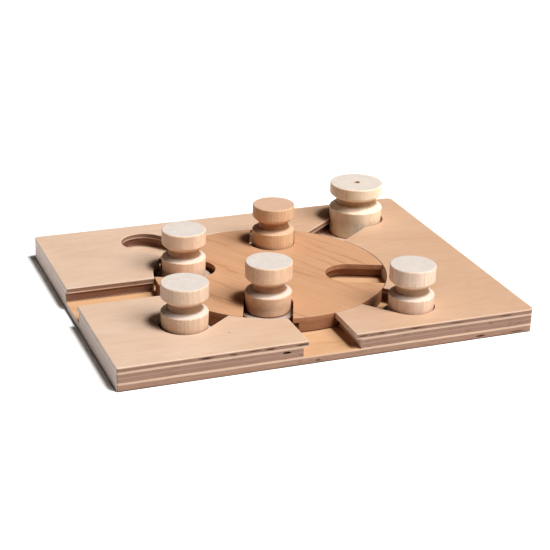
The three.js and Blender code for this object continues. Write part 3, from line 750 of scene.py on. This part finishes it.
lower_joints = ((6.3, 9.3), (10.3, 12.2))
for node, name, voids in (
    ("frame_lower_main", "lower_frame_sheet_main", [
        ((150.1, -40.0, 8.0), (0.6, 2.4, 0.45), 22), ((-80.0, 119.6, 8.2), (2.6, 0.6, 0.45), 23), ((60.0, 119.6, 11.2), (1.8, 0.5, 0.35), 24)]),
    ("frame_lower_corner", "lower_frame_sheet_corner", [((-34.8, -119.9, 10.7), (3.3, 2.2, 0.85), 25)]),
):
    outline = cad_loops(node, 13.0)[0]
    obj = plate(name, [(outline, sheet_levels(5.5, 13.0, joints=lower_joints, r_top=0.0, r_bottom=0.08))], [mat_ledge, mat_edge, mat_void])
    cut_with(obj, [lump(c, r, s) for c, r, s in voids])
    place(obj, "board", "ply_core", node)

for node, name, mat, voids in (
    ("frame_top_main", "top_sheet_main", mat_top_main, [
        ((59.0, -119.5, 15.1), (2.4, 0.3, 0.28), 32), ((-20.0, 119.6, 15.0), (2.4, 0.5, 0.4), 34), ((95.0, 119.6, 15.1), (1.8, 0.5, 0.35), 35),
        ((150.1, 30.0, 15.0), (0.5, 2.0, 0.35), 36)]),
    ("frame_top_corner", "top_sheet_corner", mat_top_corner, [
        ((-90.5, -119.5, 15.0), (2.8, 0.35, 0.35), 37), ((-46.0, -119.5, 15.0), (2.0, 0.3, 0.3), 39)]),
):
    outline = cad_loops(node, 17.0)[0]
    obj = plate(name, [(outline, sheet_levels(13.0, 17.0, joints=((13.9, 16.2),), r_top=0.4, r_bottom=0.1))], [mat, mat_edge, mat_void])
    cut_with(obj, [lump(c, r, s) for c, r, s in voids])
    place(obj, "board", "birch_ply", node)

# -------------------------------------------------------------------------- the disc

outline = cad_loops("disc_lower", 13.0)[0]
obj = plate("disc_lower_layer", [(outline, sheet_levels(6.3, 13.0, r_top=0.0, r_bottom=0.3, wall=0))], [mat_disc_low])
place(obj, "disc", "disc_hardwood", "disc_lower")
outline = cad_loops("disc_top", 17.0)[0]
obj = plate("disc_top_layer", [(outline, sheet_levels(13.0, 17.0, r_top=0.3, r_bottom=0.12, wall=0))], [mat_disc])
place(obj, "disc", "disc_hardwood", "disc_top")

# -------------------------------------------------------------------------- the pegs

# tone scales only each peg's side colours: partly the peg's own wood, partly painted light that brightens or darkens
# its sides in place of how they are lit
PEGS = {
    "peg_disc_back": dict(pith=(14.0, -20.0), seed=3, tint="toasted", ring=0.35, stripe=0.9, shift=0.9, grow=0.1, tone=(1.17, 1.24, 1.30)),
    "peg_disc_left": dict(pith=(-6.0, 9.0), seed=5, tint="beech", ring=0.40, stripe=0.9, shift=-0.4, grow=0.2, tone=(1.30, 1.32, 1.30)),
    "peg_disc_front": dict(pith=(0.6, 1.0), seed=8, tint="beech", ring=0.32, stripe=0.8, shift=-1.3, grow=0.6, tone=(1.16, 1.08, 0.99)),
    "peg_front_left": dict(pith=(-24.0, 12.0), seed=12, tint="beech", ring=0.30, stripe=0.8, shift=0.2, grow=0.4, tone=(1.09, 1.10, 1.10)),
    "peg_front_right": dict(pith=(16.0, 18.0), seed=17, tint="beech", ring=0.35, stripe=1.1, shift=-0.9, grow=0.2, tone=(1.22, 1.29, 1.36)),
}
TINTS = {
    "beech": (BEECH_SIDE, BEECH_SIDE_DARK, BEECH_TOP, BEECH_TOP_DARK),
    "toasted": ((0.67, 0.415, 0.245), (0.51, 0.275, 0.14), (0.61, 0.396, 0.28), (0.51, 0.31, 0.197)),
}
for peg, p in PEGS.items():
    lo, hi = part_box(peg + "_body")
    cx, cy = (lo.x + hi.x) / 2 * 1000, (lo.y + hi.y) / 2 * 1000
    side, side_dark, top, top_dark = TINTS[p["tint"]]
    side, side_dark = (tuple(c * t for c, t in zip(colour, p["tone"])) for colour in (side, side_dark))
    # groove_shade sets the painted shade in the turned waist: outer radius, neck radius and middle height
    mat = turned_wood(peg + "_wood", cx, cy, side, side_dark, top, top_dark, p["pith"], p["seed"], ring=p["ring"], stripe=p["stripe"], groove_shade=(15.9 + p["grow"], 11.2, 31.4 + p["shift"]))
    shift, upper = p["shift"], 15.9 + p["grow"]
    profile = split_long(arc_profile([
        (0, 24.8, 0), (2.1, 24.8, 0), (2.1, 11.3, 0), (14.9, 11.3, 0.1), (15.9, 12.7, 0.5),
        (15.9, 17.0, 1.0), (upper, 27.2 + shift, 1.0), (11.2, 29.6 + shift, 0.5), (11.2, 33.2 + shift, 2.2),
        (upper, 37.9 + shift, 1.0), (upper, 48.0, 0.85), (0, 48.0, 0)]))
    body = lathe(peg + "_turned", cx, cy, profile, [mat], seed=p["seed"])
    place(body, peg, "toasted_beech" if p["tint"] == "toasted" else "beech", peg + "_body")
    foot_mat = turned_wood(peg + "_foot_wood", cx, cy, *[tuple(c * 0.8 for c in colour) for colour in TINTS["beech"]], (30.0, -14.0), p["seed"] + 40, ring=0.4)
    foot_profile = split_long(arc_profile([
        (2.15, 8.7, 0), (4.3, 5.8, 0.1), (20.0, 5.8, 0.5), (20.0, 11.3, 0.6), (2.15, 11.3, 0.05), (2.15, 8.7, 0)]), 4.0)
    # a ring: the profile closes on itself, so its last row is its first
    rows = foot_profile[:-1]
    verts, faces, rims, seg = [], [], [], 96
    for r, z, rim in rows:
        for s in range(seg):
            t = 2 * math.pi * s / seg
            verts.append((cx + r * math.cos(t), cy + r * math.sin(t), z))
            rims.append(rim)
    count = len(rows)
    for k in range(count):
        for s in range(seg):
            t = (s + 1) % seg
            faces.append((k * seg + s, k * seg + t, ((k + 1) % count) * seg + t, ((k + 1) % count) * seg + s))
    foot = finish_mesh(peg + "_foot_disc", verts, faces, [0] * len(faces), rims, [foot_mat], 32.0)
    place(foot, peg, "beech", peg + "_foot")
    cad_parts[peg + "_screw"].data.materials.clear()
    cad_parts[peg + "_screw"].data.materials.append(mat_steel)

lo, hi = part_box("loading_plug")
cx, cy = (lo.x + hi.x) / 2 * 1000, (lo.y + hi.y) / 2 * 1000
# the plug's side colours are brighter than the pegs' beech: partly its own wood, partly painted light on its sides; its
# groove_shade tuple sets the painted shade in its waist
plug_mat = turned_wood("plug_wood", cx, cy, (0.95, 0.80, 0.62), (0.85, 0.645, 0.45), (0.67, 0.597, 0.525), (0.61, 0.505, 0.415), (-22.0, -30.0), 21, ring=0.35, stripe=1.1, groove_shade=(20.9, 15.5, 32.9))
plug_profile = split_long(arc_profile([
    (0, 5.7, 0), (20.4, 5.7, 0.6), (20.4, 17.0, 2.0), (21.0, 27.0, 1.1), (15.5, 31.6, 0.6), (15.5, 34.2, 2.2), (20.9, 38.6, 1.2),
    (20.9, 47.0, 0.9), (2.6, 47.0, 0.25), (2.6, 35.0, 0), (0, 35.0, 0)]))
plug = lathe("loading_plug_turned", cx, cy, plug_profile, [plug_mat], segments=128, seed=21)
place(plug, "plug", "beech", "loading_plug")

# ------------------------------------------------------------------- the pivot screw

screw = lathe("pivot_screw_steel", -1.2, 1.3, split_long(arc_profile([
    (0, 0.35, 0), (4.3, 0.35, 0.12), (4.3, 0.8, 0.1), (2.2, 3.0, 0.2), (2.2, 10.6, 0.2), (0.5, 12.0, 0), (0, 12.0, 0)]), 0.8),
    [mat_steel], segments=64, seed=2, uneven=0.0)
cutters = []
for k in range(2):
    bm = bmesh.new()
    bmesh.ops.create_cube(bm, size=1.0)
    for v in bm.verts:
        taper = 1.0 if v.co.z < 0 else 0.45
        x, y = v.co.x * 4.6 * taper, v.co.y * 0.95 * (1.0 if v.co.z < 0 else 0.7)
        if k:
            x, y = y, x
        v.co = Vector(((-1.2 + x) * MM, (1.3 + y) * MM, (-0.5 if v.co.z < 0 else 2.2) * MM))
    bmesh.ops.recalc_face_normals(bm, faces=bm.faces)
    me = bpy.data.meshes.new("cutter")
    bm.to_mesh(me)
    bm.free()
    c = bpy.data.objects.new("cutter", me)
    COLLECTION.objects.link(c)
    cutters.append(c)
cut_with(screw, cutters)
place(screw, "disc", "steel", "pivot_screw")
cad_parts["pivot_washer"].data.materials.clear()
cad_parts["pivot_washer"].data.materials.append(mat_steel)

# ------------------------------------------------------------------------- the stage

floor_mesh = bpy.data.meshes.new("floor")
side = 6.0
floor_mesh.from_pydata([(-side, -side, -0.00015), (side, -side, -0.00015), (side, side, -0.00015), (-side, side, -0.00015)], [], [(0, 1, 2, 3)])
floor = bpy.data.objects.new("floor", floor_mesh)
COLLECTION.objects.link(floor)
n = Nodes("floor_white")
path = n.add("ShaderNodeLightPath")
tone = n.mix(path.outputs["Is Camera Ray"], (0.90, 0.90, 0.90), (1.15, 1.15, 1.15))
out = n.add("ShaderNodeOutputMaterial")
diffuse = n.add("ShaderNodeBsdfDiffuse")
n.put(diffuse.inputs[0], tone)
n.tree.links.new(diffuse.outputs[0], out.inputs[0])
floor_mesh.materials.append(n.mat)

world = bpy.data.worlds.new("studio")
SCENE.world = world
world.use_nodes = True
wt = world.node_tree
wt.nodes.clear()
lp = wt.nodes.new("ShaderNodeLightPath")
pick = wt.nodes.new("ShaderNodeMix")
pick.data_type = "FLOAT"
wt.links.new(lp.outputs["Is Camera Ray"], pick.inputs[0])
pick.inputs[2].default_value = 0.012
pick.inputs[3].default_value = 1.1
bg = wt.nodes.new("ShaderNodeBackground")
wt.links.new(pick.outputs[0], bg.inputs["Strength"])
bg.inputs["Color"].default_value = (1.0, 1.0, 1.0, 1.0)
wo = wt.nodes.new("ShaderNodeOutputWorld")
wt.links.new(bg.outputs[0], wo.inputs[0])


def studio_light(name, energy, azimuth, elevation, angle):
    """A large soft lamp far away, shining from the given direction."""
    lamp = bpy.data.lights.new(name, "SUN")
    lamp.energy = energy
    lamp.angle = math.radians(angle)
    lamp.color = (1.0, 0.99, 0.975)
    obj = bpy.data.objects.new(name, lamp)
    COLLECTION.objects.link(obj)
    az, el = math.radians(azimuth), math.radians(elevation)
    towards = Vector((math.cos(az) * math.cos(el), math.sin(az) * math.cos(el), math.sin(el)))
    obj.rotation_mode = "QUATERNION"
    obj.rotation_quaternion = towards.to_track_quat("Z", "Y")


studio_light("key", 2.3, -45, 69, 11)
studio_light("soft_right", 2.8, -46, 50, 36)
studio_light("soft_side", 0.2, 0, 30, 50)

cam = bpy.data.cameras.new("camera")
cam.sensor_width = 36.0
cam.lens = 36.0 * 1496.84 / 550.0
cam.clip_start = 0.05
cam.clip_end = 50.0
cam_obj = bpy.data.objects.new("camera", cam)
COLLECTION.objects.link(cam_obj)
rx = Vector((0.93473017, -0.35465007, 0.02242403))
up = Vector((0.11766487, 0.36843041, 0.92217895))
back = Vector((-0.33531252, -0.85934996, 0.38611287))
m = Matrix((
    (rx.x, up.x, back.x, -0.36557),
    (rx.y, up.y, back.y, -0.94244),
    (rx.z, up.z, back.z, 0.43710),
    (0, 0, 0, 1)))
cam_obj.matrix_world = m
SCENE.camera = cam_obj
SCENE.view_settings.view_transform = "Standard"
SCENE.view_settings.look = "None"
